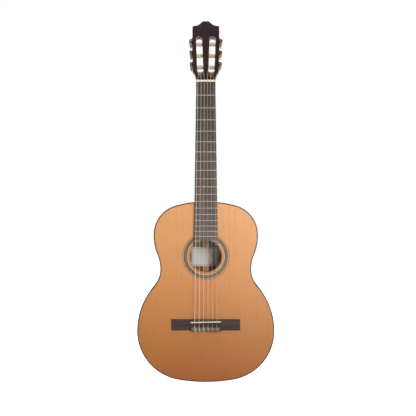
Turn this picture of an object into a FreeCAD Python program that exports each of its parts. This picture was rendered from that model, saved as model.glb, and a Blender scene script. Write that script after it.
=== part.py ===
import FreeCAD, Part
import math
import os

import Sketcher
from FreeCAD import Placement, Rotation, Vector

# Classical guitar, millimetres.
# Frame: the strings run along +Z with the neck up, +X is to the right seen from the front, +Y is
# towards the back. The origin is the tail end of the body, on the centre line and in the plane of
# the soundboard's outer face, so everything in front of the soundboard has a negative y.

# ---------------------------------------------------------------- driving dimensions

SIZES = {
    # outline of the body: widths, their heights above the tail, and the free radii
    "body_length": 492,
    "lower_bout": 374.5,
    "lower_bout_z": 139,
    "waist": 248,
    "waist_z": 307.5,
    "upper_bout": 284.4,
    "upper_bout_z": 401,
    "tail_radius": 450,
    "lower_bout_radius": 187,
    "upper_bout_low_radius": 150,
    "upper_bout_radius": 83,
    # depth of the body: the back is part of a sphere whose apex is the deepest point
    "body_depth": 102,
    "dome_radius": 7000,
    "dome_apex_z": 170,
    # plates, sides and edge strips
    "top_thickness": 2.5,
    "back_thickness": 2.5,
    "side_thickness": 2,
    "binding_depth": 6,
    "purfling_width": 1.2,
    "purfling_depth": 1,
    "lining_width": 6,
    "lining_depth": 12,
    # soundhole and rosette
    "soundhole_z": 342.4,
    "soundhole_radius": 43.5,
    "rosette_inner_radius": 44.8,
    "rosette_outer_radius": 65.2,
    "rosette_depth": 1.2,
    "patch_width": 144,
    "patch_thickness": 1.5,
    # braces and blocks
    "bar_width": 6,
    "bar_depth": 15,
    "lower_bar_z": 276,
    "upper_bar_z": 408,
    "fan_width": 4,
    "fan_depth": 4.5,
    "fan_length": 212,
    "back_brace_width": 8,
    "back_brace_depth": 15,
    "strip_width": 16,
    "strip_thickness": 2,
    "tail_block_width": 70,
    "tail_block_length": 18,
    "graft_width": 12,
    "label_width": 82,
    "label_height": 54,
    "label_z": 335,
    "label_thickness": 0.3,
    # neck
    "scale_length": 650,
    "nut_z": 817,
    "nut_width": 52,
    "nut_length": 5.5,
    "nut_height": 9.6,
    "twelfth_fret_width": 62,
    "fingerboard_thickness": 6.5,
    "fingerboard_end_radius": 43.7,
    "neck_depth_nut": 15,
    "neck_depth_heel": 17,
    "neck_side": 3,
    "heel_foot_width": 60,
    "heel_foot_length": 32,
    "heel_web_width": 12,
    "heel_cap_thickness": 3,
    "fret_count": 19,
    "fret_crown_width": 2.2,
    "fret_crown_height": 1.1,
    "fret_tang_width": 0.6,
    "fret_tang_depth": 2.2,
    # headstock
    "head_tilt": 15,
    "head_thickness": 19,
    "veneer_thickness": 2,
    "slot_width": 17,
    "slot_start": 30,
    "slot_end": 132.5,
    "slot_centre_low": 15.2,
    "slot_centre_high": 18.8,
    # tuning machines
    "roller_pitch": 34.8,
    "first_roller": 41,
    "roller_radius": 5,
    "roller_clearance": 0.05,
    "post_radius": 2.5,
    "plate_thickness": 1.2,
    "gear_offset": 5,
    "gear_width": 3.6,
    "gear_teeth": 14,
    "gear_module": 0.9,
    "worm_pitch_radius": 2.7,
    "worm_shaft_radius": 1.6,
    "worm_clearance": 0.05,
    "ear_gap": 11.6,
    "ear_thickness": 1.4,
    "ear_radius": 4.8,
    "stem_reach": 12,
    "button_length": 17,
    "button_width": 20,
    "button_thickness": 8.5,
    "button_clearance": 0.8,
    # bridge
    "bridge_length": 187,
    "bridge_width": 30.2,
    "bridge_z": 140.8,
    "wing_height": 4,
    "tie_block_length": 82,
    "tie_block_width": 13.4,
    "tie_block_z": 138.8,
    "tie_block_height": 10,
    "saddle_block_width": 10.5,
    "saddle_block_height": 8.5,
    "saddle_z": 164.5,
    "saddle_thickness": 2.8,
    "saddle_height": 13.6,
    "saddle_slant": 1.3,
    "string_hole_radius": 0.9,
    "string_hole_height": 5,
    # strings, from the highest (1) to the lowest (6)
    "nut_spread": 43,
    "bridge_spread": 60,
    "string_height_nut": 8.4,
    "string_gap": 0.1,
    "string_turns": 2.3,
    "string_diameter_1": 0.71,
    "string_diameter_2": 0.82,
    "string_diameter_3": 1.02,
    "string_diameter_4": 0.74,
    "string_diameter_5": 0.91,
    "string_diameter_6": 1.09,
}

doc = FreeCAD.newDocument("classical_guitar")
sheet = doc.addObject("Spreadsheet::Sheet", "Sizes")
for row, (alias, value) in enumerate(SIZES.items(), start=1):
    sheet.set(f"A{row}", alias)
    sheet.set(f"B{row}", str(value))
    sheet.setAlias(f"B{row}", alias)
doc.recompute()

nodes = []
BACK = Vector(0, 1, 0)
REACH = 1000        # longer than any piece, for cutting boxes
STRINGS = range(1, 7)


def size(alias):
    """Value of one named size in millimetres, as the sheet holds it."""
    return float(sheet.get(alias))


# ---------------------------------------------------------------- document helpers

def bind(obj, prop, value):
    """Set a property to a number, or tie it to an expression on the sheet."""
    if isinstance(value, str):
        obj.setExpression(prop, value)
    else:
        setattr(obj, prop, value)


def node(obj, label):
    """Mark an object as a finished sub-part and give it its name."""
    obj.Label = label
    nodes.append(obj)
    return obj


def place(obj, x=0, y=0, z=0):
    """Put an object's own origin at a point given by numbers or expressions."""
    for axis, value in (("x", x), ("y", y), ("z", z)):
        if isinstance(value, str):
            obj.setExpression(f"Placement.Base.{axis}", value)
        else:
            setattr(obj.Placement.Base, axis, value)
    return obj


def box(name, start, extent):
    """Box from its lowest corner, with numbers or expressions for corner and extent."""
    obj = doc.addObject("Part::Box", name)
    for prop, value in zip(("Length", "Width", "Height"), extent):
        bind(obj, prop, value)
    return place(obj, *start)


def centred_box(name, width, start_y, depth, start_z, height):
    """Box that is centred on x = 0; width is an expression."""
    return box(name, (f"-({width}) / 2", start_y, start_z), (width, depth, height))


def cylinder_back(name, radius, x, y, z, length):
    """Cylinder whose axis runs along +Y from the point given."""
    obj = doc.addObject("Part::Cylinder", name)
    obj.Placement = Placement(Vector(), Rotation(Vector(1, 0, 0), -90))
    bind(obj, "Radius", radius)
    bind(obj, "Height", length)
    return place(obj, x, y, z)


def cut(name, base, *tools):
    """Base less one or more tools."""
    obj = doc.addObject("Part::Cut", name)
    obj.Base = base
    obj.Tool = tools[0] if len(tools) == 1 else compound(name + "_tools", *tools)
    return obj


def common(name, base, tool):
    """What two solids share."""
    obj = doc.addObject("Part::Common", name)
    obj.Base = base
    obj.Tool = tool
    return obj


def fuse(name, *parts):
    """One solid out of touching parts."""
    obj = doc.addObject("Part::MultiFuse", name)
    obj.Shapes = list(parts)
    obj.Refine = True
    return obj


def compound(name, *parts):
    """Several separate solids kept together."""
    obj = doc.addObject("Part::Compound", name)
    obj.Links = list(parts)
    return obj


def loft(wires, ruled):
    """Solid through closed wires, turned right side out."""
    shape = Part.makeLoft(wires, True, ruled)
    return shape if shape.Volume > 0 else shape.reversed()


def feature(name, shape):
    """Solid built with Part's own functions."""
    obj = doc.addObject("Part::Feature", name)
    obj.Shape = shape
    return obj


def mirrored(name, source):
    """Mirror image of an object across the guitar's centre plane."""
    obj = doc.addObject("Part::Mirroring", name)
    obj.Source = source
    obj.Normal = Vector(1, 0, 0)
    return obj


def origin_plane(body, role):
    """One of a body's own origin planes."""
    return next(item for item in body.Origin.OriginFeatures if item.Role == role)


def sketch_on(body, role, name):
    """Empty sketch on one of a body's origin planes."""
    sketch = body.newObject("Sketcher::SketchObject", name)
    sketch.AttachmentSupport = [(origin_plane(body, role), "")]
    sketch.MapMode = "FlatFace"
    return sketch


def draw_rectangle(sketch, left, bottom, width, height):
    """Rectangle with its corner and both sides tied to expressions."""
    corners = [Vector(0, 0, 0), Vector(9, 0, 0), Vector(9, 9, 0), Vector(0, 9, 0)]
    for index, corner in enumerate(corners):
        sketch.addGeometry(Part.LineSegment(corner, corners[(index + 1) % 4]), False)
    for index in range(4):
        sketch.addConstraint(Sketcher.Constraint("Coincident", index, 2, (index + 1) % 4, 1))
    for index in (0, 2):
        sketch.addConstraint(Sketcher.Constraint("Horizontal", index))
    for index in (1, 3):
        sketch.addConstraint(Sketcher.Constraint("Vertical", index))
    driven = (("DistanceX", (-1, 1, 0, 1), left), ("DistanceY", (-1, 1, 0, 1), bottom),
              ("DistanceX", (0, 1, 0, 2), width), ("DistanceY", (1, 1, 1, 2), height))
    for kind, ends, expression in driven:
        number = sketch.addConstraint(Sketcher.Constraint(kind, *ends, 5.0))
        sketch.setExpression(f"Constraints[{number}]", expression)


def draw_path(sketch, edges):
    """Closed outline from Part lines and arcs, each end joined to the next start."""
    sketch.addGeometry(edges, False)
    for index in range(len(edges)):
        following = (index + 1) % len(edges)
        pairs = [(a, b) for a in (1, 2) for b in (1, 2)]
        gaps = [(sketch.getPoint(index, a) - sketch.getPoint(following, b)).Length for a, b in pairs]
        end, start = pairs[gaps.index(min(gaps))]
        sketch.addConstraint(Sketcher.Constraint("Coincident", index, end, following, start))


def new_body(name):
    """Empty PartDesign body."""
    return doc.addObject("PartDesign::Body", name)


def pad(body, sketch, length, reverse=False, both=False):
    """Pad a sketch by an expression."""
    obj = body.newObject("PartDesign::Pad", sketch.Name + "_pad")
    obj.Profile = sketch
    obj.setExpression("Length", length)
    obj.Reversed = reverse
    obj.Midplane = both
    doc.recompute()
    return obj


def pocket(body, sketch, length, reverse=False):
    """Pocket a sketch by an expression, and make sure that it removes material."""
    before = body.Shape.Volume
    obj = body.newObject("PartDesign::Pocket", sketch.Name + "_pocket")
    obj.Profile = sketch
    obj.setExpression("Length", length)
    obj.Reversed = reverse
    doc.recompute()
    if body.Shape.Volume >= before:
        raise RuntimeError(f"{obj.Name} removes nothing")
    return obj


def round_edges(body, name, radius, wanted):
    """Fillet the edges of a body's tip that a test picks."""
    tip = body.Tip
    picked = [f"Edge{i}" for i, edge in enumerate(tip.Shape.Edges, start=1) if wanted(edge)]
    obj = body.newObject("PartDesign::Fillet", name)
    obj.Base = (tip, picked)
    bind(obj, "Radius", radius)
    doc.recompute()
    return obj


# ---------------------------------------------------------------- outline of the body

def outline_arcs(inset):
    """Arcs of one half of the body's outline, from the tail to the neck, moved inwards by inset.

    Each arc is (centre, radius, start, end) in the (x, z) plane. Neighbours are tangent, so a
    junction lies on the line through the two centres, and moving the outline inwards only makes
    the outer arcs smaller and the two waist arcs larger.
    """
    lower, low_z = size("lower_bout") / 2, size("lower_bout_z")
    waist, waist_z = size("waist") / 2, size("waist_z")
    upper, up_z = size("upper_bout") / 2, size("upper_bout_z")
    tail, flank = size("tail_radius"), size("lower_bout_radius")
    chest, neck = size("upper_bout_low_radius"), size("upper_bout_radius")
    length = size("body_length")

    corner = (tail ** 2 - lower ** 2 - (tail - low_z) ** 2) / (2 * (tail - lower))
    low_waist = waist_radius(waist, waist_z, lower, low_z, flank)
    high_waist = waist_radius(waist, waist_z, upper, up_z, chest)
    rise = length - up_z
    shoulder = ((upper - neck) ** 2 + rise ** 2 - neck ** 2) / (2 * (rise - neck))

    arcs = [(Vector(0, tail), tail, 1), (Vector(lower - corner, low_z), corner, 1),
            (Vector(lower - flank, low_z), flank, 1), (Vector(waist + low_waist, waist_z), low_waist, -1),
            (Vector(waist + high_waist, waist_z), high_waist, -1), (Vector(upper - chest, up_z), chest, 1),
            (Vector(upper - neck, up_z), neck, 1), (Vector(0, length - shoulder), shoulder, 1)]
    moved = [(centre, radius - sign * inset, sign) for centre, radius, sign in arcs]
    ends = [Vector(0, inset)]
    for (centre, radius, sign), (other, other_radius, other_sign) in zip(moved, moved[1:]):
        nested = sign == other_sign and radius < other_radius
        direction = centre - other if nested else other - centre
        ends.append(centre + direction.normalize() * radius)
    ends.append(Vector(0, length - inset))
    return [(centre, radius, ends[i], ends[i + 1]) for i, (centre, radius, sign) in enumerate(moved)]


def waist_radius(waist, waist_z, bout, bout_z, bout_radius):
    """Radius of the waist's arc that touches a bout's arc."""
    across = waist - bout + bout_radius
    return (across ** 2 + (waist_z - bout_z) ** 2 - bout_radius ** 2) / (2 * (bout - waist))


def outline_sketch(name, inset):
    """Whole outline as a sketch in the soundboard's plane."""
    sketch = doc.addObject("Sketcher::SketchObject", name)
    sketch.Placement = Placement(Vector(), Rotation(Vector(1, 0, 0), 90))
    right = []
    for centre, radius, start, end in outline_arcs(inset):
        middle = centre + ((start - centre) + (end - centre)).normalize() * radius
        right.append((start, middle, end))
    left = [tuple(Vector(-p.x, p.y) for p in reversed(arc)) for arc in reversed(right)]
    sketch.addGeometry([Part.Arc(*arc) for arc in right + left], False)
    return sketch


def outline_block(name, sketch, start, depth):
    """Solid with the outline of a sketch, from depth start to start + depth behind the face."""
    obj = doc.addObject("Part::Extrusion", name)
    obj.Base = sketch
    obj.DirMode = "Custom"
    obj.Dir = BACK
    obj.Solid = True
    bind(obj, "LengthFwd", depth)
    return place(obj, 0, start, 0)


def dome_ball(name, under):
    """Ball whose surface is the back's outer face, lowered by an expression."""
    obj = doc.addObject("Part::Sphere", name)
    bind(obj, "Radius", f"Sizes.dome_radius - ({under})")
    return place(obj, 0, "Sizes.body_depth - Sizes.dome_radius", "Sizes.dome_apex_z")


def halves(name, whole):
    """The parts of a solid on the bass side and on the treble side of the centre line."""
    bass_room = box(name + "_bass_room", (-REACH, -REACH, -REACH), (REACH, 2 * REACH, 3 * REACH))
    treble_room = box(name + "_treble_room", (0, -REACH, -REACH), (REACH, 2 * REACH, 3 * REACH))
    return common(name + "_bass", whole, bass_room), common(name + "_treble", whole, treble_room)


# ---------------------------------------------------------------- soundbox

class Soundbox:
    """Outlines and dome layers that the pieces of the soundbox share."""

    def __init__(self):
        side = size("side_thickness")
        self.outer = outline_sketch("outline_outer", 0)
        self.inner = outline_sketch("outline_inside_sides", side)
        self.top_field = outline_sketch("outline_inside_purfling", side + size("purfling_width"))
        self.cavity = outline_sketch("outline_inside_linings", side + size("lining_width"))
        self.back_face = dome_ball("back_face", "0")
        self.back_inside = dome_ball("back_inside", "Sizes.back_thickness")
        self.back_binding_edge = dome_ball("back_binding_edge", "Sizes.binding_depth")


def make_top(shapes):
    """Soundboard with the channels for the rosette and the purfling, and those two inlays."""
    plate = outline_block("top_plate", shapes.inner, 0, "Sizes.top_thickness")
    field = outline_block("top_field", shapes.top_field, 0, "Sizes.purfling_depth")
    purfled = outline_block("top_purfled", shapes.inner, 0, "Sizes.purfling_depth")
    purfling = node(cut("purfling_ring", purfled, field), "top_purfling")
    hole = cylinder_back("hole", "Sizes.soundhole_radius", 0, -5, "Sizes.soundhole_z", 20)
    rosette = cut("rosette_ring",
                  cylinder_back("rosette_disc", "Sizes.rosette_outer_radius", 0, 0, "Sizes.soundhole_z",
                                "Sizes.rosette_depth"),
                  cylinder_back("rosette_eye", "Sizes.rosette_inner_radius", 0, -5, "Sizes.soundhole_z", 20))
    node(rosette, "rosette")
    drilled = cut("top_drilled", plate, hole)
    channelled = cut("top_channelled", cut("top_ringed", drilled, rosette), purfling)
    node(compound("soundboard_halves", *halves("top", channelled)), "soundboard")


def make_bindings(shapes):
    """Edge strips: two round the top, which stop at the neck, and two round the back."""
    outer = outline_block("top_binding_outer", shapes.outer, 0, "Sizes.binding_depth")
    inner = outline_block("top_binding_inner", shapes.inner, 0, "Sizes.binding_depth")
    neck_gap = centred_box("binding_gap", "Sizes.twelfth_fret_width - 8", -5, 20, 400, 200)
    top_ring = cut("top_binding_ring", outer, inner, neck_gap)

    back_outer = outline_block("back_binding_outer", shapes.outer, 60, 60)
    back_inner = outline_block("back_binding_inner", shapes.inner, 50, 80)
    back_ring = cut("back_binding_ring", common("back_binding_domed", back_outer, shapes.back_face),
                    back_inner, shapes.back_binding_edge)
    strips = halves("top_binding", top_ring) + halves("back_binding", back_ring)
    node(compound("binding_strips", *strips), "bindings")


def make_sides(shapes):
    """Two bent sides between the bindings, and the graft that covers their joint at the tail."""
    outer = outline_block("side_outer", shapes.outer, "Sizes.binding_depth", 110)
    inner = outline_block("side_inner", shapes.inner, 0, 130)
    rib = common("rib_ring", cut("rib_ring_deep", outer, inner), shapes.back_binding_edge)
    graft_room = centred_box("graft_room", "Sizes.graft_width", 0, 120, -5, 20)
    node(common("graft_strip", rib, graft_room), "tail_graft")
    web_room = centred_box("web_room", "Sizes.heel_web_width", 0, 120, 400, 200)
    bass, treble = halves("rib", cut("rib_open", rib, graft_room, web_room))
    node(bass, "side_bass")
    node(treble, "side_treble")


def make_back(shapes):
    """Two back plates, their centre strip inside, the braces and the label."""
    block = outline_block("back_block", shapes.inner, 50, 60)
    plate = cut("back_plate", common("back_domed", block, shapes.back_face), shapes.back_inside)
    node(compound("back_halves", *halves("back", plate)), "back")

    cavity = outline_block("back_cavity", shapes.cavity, 50, 60)
    inside = common("back_inside_block", cavity, shapes.back_inside)
    brace_floor = dome_ball("brace_floor", "Sizes.back_thickness + Sizes.back_brace_depth")
    brace_layer = cut("brace_layer", inside, brace_floor)
    strip_floor = dome_ball("strip_floor", "Sizes.back_thickness + Sizes.strip_thickness")
    strip_layer = cut("strip_layer", inside, strip_floor)

    brace_heights = (112, 236, 410)
    half_brace = size("back_brace_width") / 2
    braces = [common(f"back_brace_{i}", brace_layer,
                     box(f"back_brace_room_{i}", (-REACH / 2, 0, z - half_brace),
                         (REACH, 120, "Sizes.back_brace_width")))
              for i, z in enumerate(brace_heights)]
    node(compound("back_brace_set", *braces), "back_braces")

    label_low = size("label_z") - size("label_height") / 2
    label_high = size("label_z") + size("label_height") / 2
    runs = [(size("tail_block_length") + size("side_thickness"), brace_heights[0] - half_brace),
            (brace_heights[0] + half_brace, brace_heights[1] - half_brace),
            (brace_heights[1] + half_brace, label_low), (label_high, brace_heights[2] - half_brace),
            (brace_heights[2] + half_brace, size("body_length") - size("heel_foot_length") - 2)]
    strips = [common(f"centre_strip_{i}", strip_layer,
                     centred_box(f"centre_strip_room_{i}", "Sizes.strip_width", 0, 120, low, high - low))
              for i, (low, high) in enumerate(runs)]
    node(compound("centre_strips", *strips), "back_centre_strip")

    label_floor = dome_ball("label_floor", "Sizes.back_thickness + Sizes.label_thickness")
    label_room = centred_box("label_room", "Sizes.label_width", 0, 120,
                             "Sizes.label_z - Sizes.label_height / 2", "Sizes.label_height")
    node(common("label_sheet", cut("label_layer", inside, label_floor), label_room), "label")


def make_frame(shapes):
    """Linings along the corners inside, and the tail block."""
    outer = outline_block("lining_outer", shapes.inner, "Sizes.top_thickness", 110)
    inner = outline_block("lining_inner", shapes.cavity, 0, 130)
    ring = common("lining_ring", cut("lining_ring_deep", outer, inner), shapes.back_inside)
    lining_floor = dome_ball("lining_floor", "Sizes.back_thickness + Sizes.lining_depth")
    tail_room = centred_box("lining_tail_room", "Sizes.tail_block_width", -5, 130, -5, 60)
    foot_room = centred_box("lining_foot_room", "Sizes.heel_foot_width", -5, 130, 400, 200)
    top_room = box("lining_top_room", (-REACH / 2, 0, -REACH / 2),
                   (REACH, "Sizes.top_thickness + Sizes.lining_depth", 2 * REACH))
    top_ring = common("top_lining_ring", ring, top_room)
    back_ring = cut("back_lining_ring", ring, lining_floor)
    runs = (halves("top_lining", cut("top_lining_open", top_ring, tail_room, foot_room))
            + halves("back_lining", cut("back_lining_open", back_ring, tail_room, foot_room)))
    node(compound("lining_runs", *runs), "linings")

    block = outline_block("tail_block_deep", shapes.inner, "Sizes.top_thickness", 110)
    block_room = centred_box("tail_block_room", "Sizes.tail_block_width", 0, 130, 0,
                             "Sizes.side_thickness + Sizes.tail_block_length")
    node(common("tail_block_fitted", common("tail_block_domed", block, shapes.back_inside), block_room),
         "tail_block")


def make_top_bracing(shapes):
    """Soundhole patch, two harmonic bars and seven fan braces under the soundboard."""
    bar_room = outline_block("bar_cavity", shapes.cavity, "Sizes.top_thickness", "Sizes.bar_depth")
    bars = [common(f"harmonic_bar_{name}", bar_room,
                   box(f"harmonic_bar_room_{name}",
                       (-REACH / 2, 0, f"Sizes.{name}_bar_z - Sizes.bar_width / 2"),
                       (REACH, 60, "Sizes.bar_width")))
            for name in ("lower", "upper")]
    node(compound("harmonic_bar_pair", *bars), "harmonic_bars")

    patch = centred_box("patch_board", "Sizes.patch_width", "Sizes.top_thickness", "Sizes.patch_thickness",
                        "Sizes.lower_bar_z + Sizes.bar_width / 2",
                        "Sizes.upper_bar_z - Sizes.lower_bar_z - Sizes.bar_width")
    patch_hole = cylinder_back("patch_hole", "Sizes.soundhole_radius", 0, -5, "Sizes.soundhole_z", 20)
    node(cut("patch_ring", patch, patch_hole), "soundhole_patch")

    fans = []
    for place_number in range(-3, 4):
        fan = box(f"fan_{place_number + 3}", (0, 0, 0),
                  ("Sizes.fan_width", "Sizes.fan_depth", "Sizes.fan_length"))
        top_z = size("lower_bar_z") - size("bar_width") / 2 - 3
        top = Vector(place_number * 19, size("top_thickness"), top_z)
        turn = Rotation(BACK, 180 + place_number * 3.6)
        shift = turn.multVec(Vector(-size("fan_width") / 2, 0, 0))
        fan.Placement = Placement(Vector(top.x + shift.x, top.y, top.z + shift.z), turn)
        fans.append(fan)
    node(compound("fan_brace_set", *fans), "fan_braces")


# ---------------------------------------------------------------- neck

def fret_z(number):
    """Height of a fret, from the scale length."""
    return size("nut_z") - size("scale_length") * (1 - 2 ** (-number / 12))


def board_half_width(z):
    """Half of the fingerboard's width at a height."""
    flare = (size("twelfth_fret_width") - size("nut_width")) / 2
    return size("nut_width") / 2 + flare * (size("nut_z") - z) / (size("scale_length") / 2)


def fret_wire(number):
    """One fret as one solid, or as two where the fingerboard's hollow end splits it."""
    z = fret_z(number)
    half = board_half_width(z) - 0.2
    face = -size("fingerboard_thickness")
    crown, rise = size("fret_crown_width") / 2, size("fret_crown_height")
    tang, depth = size("fret_tang_width") / 2, size("fret_tang_depth")
    points = [Vector(0, face, -crown), Vector(0, face - rise, 0), Vector(0, face, crown),
              Vector(0, face, tang), Vector(0, face + depth, tang), Vector(0, face + depth, -tang),
              Vector(0, face, -tang)]
    edges = [Part.Arc(*points[:3]).toShape()]
    edges += [Part.makeLine(points[i], points[i + 1]) for i in range(2, 6)]
    edges.append(Part.makeLine(points[6], points[0]))
    section = Part.Face(Part.Wire(edges))
    off_centre = z - size("soundhole_z")
    end_radius = size("fingerboard_end_radius") + 0.6
    gap = math.sqrt(end_radius ** 2 - off_centre ** 2) if off_centre < end_radius else 0
    spans = [(-half, -gap), (gap, half)] if gap else [(-half, half)]
    solids = []
    for low, high in spans:
        solid = section.extrude(Vector(high - low, 0, 0))
        solid.translate(Vector(low, 0, z))
        solids.append(solid)
    return solids


def make_fingerboard():
    """Tapered board with a hollow end round the soundhole, slotted for its frets."""
    body = new_body("fingerboard_blank")
    sketch = sketch_on(body, "XZ_Plane", "fingerboard_outline")
    low = size("soundhole_z")
    corners = [Vector(-board_half_width(low), low), Vector(board_half_width(low), low),
               Vector(size("nut_width") / 2, size("nut_z")), Vector(-size("nut_width") / 2, size("nut_z"))]
    draw_path(sketch, [Part.LineSegment(corners[i], corners[(i + 1) % 4]) for i in range(4)])
    pad(body, sketch, "Sizes.fingerboard_thickness")
    round_edges(body, "fingerboard_arris", 0.5,
                lambda edge: abs(edge.BoundBox.YMin + size("fingerboard_thickness")) < 0.01
                and edge.BoundBox.YLength < 0.01 and edge.BoundBox.ZLength > 100)
    frets = node(feature("fret_set", Part.Compound([s for n in range(1, int(size("fret_count")) + 1)
                                                    for s in fret_wire(n)])), "frets")
    end_cut = cylinder_back("fingerboard_end_cut", "Sizes.fingerboard_end_radius", 0, -20,
                            "Sizes.soundhole_z", 40)
    node(cut("fingerboard_slotted", cut("fingerboard_cut", body, end_cut), frets), "fingerboard")


def neck_section(half_width, front, side, depth):
    """D-shaped section in the XY plane: flat front, short straight sides and a half ellipse behind."""
    corners = [Vector(-half_width, side, 0), Vector(-half_width, front, 0), Vector(half_width, front, 0),
               Vector(half_width, side, 0)]
    lines = [Part.makeLine(corners[i], corners[i + 1]) for i in range(3)]
    across = depth - side
    if half_width > across:
        ellipse = Part.Ellipse(Vector(half_width, side, 0), Vector(0, depth, 0), Vector(0, side, 0))
        back = Part.ArcOfEllipse(ellipse, 0, math.pi)
    else:
        ellipse = Part.Ellipse(Vector(0, depth, 0), Vector(-half_width, side, 0), Vector(0, side, 0))
        back = Part.ArcOfEllipse(ellipse, -math.pi / 2, math.pi / 2)
    return Part.Wire(Part.__sortEdges__(lines + [back.toShape()]))


def head_frame():
    """Placement of the headstock: x across, y into the wood, z up the face from the nut's back."""
    back_of_nut = size("nut_z") + size("nut_length")
    return Placement(Vector(0, 0, back_of_nut), Rotation(Vector(1, 0, 0), -size("head_tilt")))


def neck_blank():
    """Shaft and the carved run into the headstock, before they are parted at the scarf."""
    blend_low = size("nut_z") - 22
    share = (blend_low - size("body_length")) / (size("nut_z") - size("body_length"))
    depth = size("neck_depth_heel") + (size("neck_depth_nut") - size("neck_depth_heel")) * share
    side = size("neck_side")
    foot_z = size("body_length") - 8
    foot = neck_section(board_half_width(foot_z), 0, side, size("neck_depth_heel"))
    foot.translate(Vector(0, 0, foot_z))
    top = neck_section(board_half_width(blend_low), 0, side, depth)
    top.translate(Vector(0, 0, blend_low))
    shaft = loft([foot, top], True)

    low = neck_section(board_half_width(blend_low), -1, side, depth)
    low.translate(Vector(0, 0, blend_low))
    high = neck_section(size("nut_width") / 2 + 0.6, -1, size("head_thickness") - 1.5, size("head_thickness"))
    high.Placement = head_frame().multiply(Placement(Vector(0, 0, 3), Rotation()))
    blend = loft([low, high], True)
    back_of_nut = size("nut_z") + size("nut_length")
    blend = blend.cut(Part.makeBox(200, 20, 60, Vector(-100, -20, back_of_nut - 60)))
    front = Part.makeBox(200, 20, 60, Vector(-100, -20, -20))
    front.Placement = head_frame()
    return shaft, blend.cut(front)


def make_neck(shapes):
    """Neck shaft, with the tongue that fills the gap between the top bindings, up to the scarf."""
    shaft, blend = neck_blank()
    whole = shaft.fuse(blend)
    scarf = Part.makeBox(200, 200, 600, Vector(-100, 0, -300))
    front_z = size("nut_z") + 2
    scarf_angle = 16
    scarf.Placement = Placement(Vector(0, 0, front_z), Rotation(Vector(1, 0, 0), scarf_angle))
    above = whole.common(scarf)
    below = whole.cut(scarf)
    lower_shaft = cut("shaft_fitted", feature("shaft_blank", below),
                      outline_block("shaft_body_room", shapes.outer, -5, 60))
    tongue_ring = cut("tongue_ring", outline_block("tongue_outer", shapes.outer, 0, "Sizes.binding_depth"),
                      outline_block("tongue_inner", shapes.inner, -5, 60))
    tongue = common("tongue", tongue_ring,
                    centred_box("tongue_room", "Sizes.twelfth_fret_width - 8", 0, 20, 400, 200))
    node(fuse("shaft_with_tongue", lower_shaft, tongue), "neck_shaft")
    return above


def make_heel(shapes):
    """Spanish heel: the carved heel outside, a web between the sides and the foot inside."""
    profile = [(10, 29, 47), (18, 26, 36), (30, 20.5, 26), (48, 15.5, 19), (70, 12.5, 15.5)]
    cap_y = heel_cap_y()
    profile.append((cap_y, 11, 14))
    sections = []
    sunk = 8
    for y, half_width, height in profile:
        across = height + sunk
        ellipse = Part.Ellipse(Vector(0, across, 0), Vector(half_width, 0, 0), Vector(0, 0, 0))
        arc = Part.ArcOfEllipse(ellipse, -math.pi / 2, math.pi / 2).toShape()
        base = Part.makeLine(Vector(-half_width, 0, 0), Vector(half_width, 0, 0))
        wire = Part.Wire(Part.__sortEdges__([arc, base]))
        wire.Placement = Placement(Vector(0, y, size("body_length") - sunk), Rotation(Vector(1, 0, 0), 90))
        sections.append(wire)
    carved = loft(sections, False)
    carved = carved.cut(neck_blank()[0])
    outside = cut("heel_outside", feature("heel_carved", carved),
                  outline_block("heel_body_room", shapes.outer, -5, 130))

    web = common("heel_web", centred_box("heel_web_room", "Sizes.heel_web_width", "Sizes.binding_depth", 110,
                                         "Sizes.body_length - 10", 20),
                 common("heel_web_ring", cut("heel_web_shell",
                                             outline_block("web_outer", shapes.outer, 0, 120),
                                             outline_block("web_inner", shapes.inner, -5, 130)),
                        shapes.back_binding_edge))
    foot = common("heel_foot",
                  centred_box("heel_foot_room", "Sizes.heel_foot_width", "Sizes.top_thickness", 110,
                              "Sizes.body_length - Sizes.side_thickness - Sizes.heel_foot_length", 60),
                  common("heel_foot_block", outline_block("foot_block", shapes.inner, 0, 120),
                         shapes.back_inside))
    node(fuse("heel_whole", outside, web, foot), "heel")

    cap = feature("heel_cap_blank", heel_cap_shape(sections[-1]))
    node(cut("heel_cap_fitted", cap, outline_block("cap_body_room", shapes.outer, -5, 130)), "heel_cap")


def heel_cap_y():
    """Depth at which the heel ends and its cap begins: the cap is level with the back's edge."""
    reach = size("body_length") - size("dome_apex_z")
    edge = size("body_depth") - reach ** 2 / (2 * size("dome_radius"))
    return edge - size("heel_cap_thickness")


def heel_cap_shape(wire):
    """Cap with the outline of the heel's end."""
    return Part.Face(wire).extrude(Vector(0, size("heel_cap_thickness"), 0))


# ---------------------------------------------------------------- headstock

def head_outline():
    """Edges of the headstock's outline in its own plane, right half and then its mirror image."""
    half = size("nut_width") / 2
    root, neck_end = Vector(half, 0), Vector(half, 4)
    flare_mid, flare_end = Vector(half + 3, 14.2), Vector(33.5, 25)
    shoulder, notch = Vector(37.6, 150), Vector(35.4, 155)
    ear_mid, ear_end = Vector(37, 160.4), Vector(32, 162.9)
    sweep_mid, sweep_end = Vector(23.8, 164.6), Vector(15.3, 169.9)
    crest_mid, crest = Vector(10.6, 175), Vector(4.4, 178)
    dip = Vector(0, 176.4)
    right = [("line", root, neck_end), ("arc", neck_end, flare_mid, flare_end),
             ("line", flare_end, shoulder),
             ("line", shoulder, notch), ("arc", notch, ear_mid, ear_end),
             ("arc", ear_end, sweep_mid, sweep_end), ("arc", sweep_end, crest_mid, crest),
             ("line", crest, dip)]
    left = [(kind, *[Vector(-p.x, p.y) for p in reversed(points)]) for kind, *points in reversed(right)]
    edges = []
    for kind, *points in right + left:
        edges.append(Part.Arc(*points) if kind == "arc" else Part.LineSegment(*points))
    edges.append(Part.LineSegment(Vector(-half, 0), Vector(half, 0)))
    return edges


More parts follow.
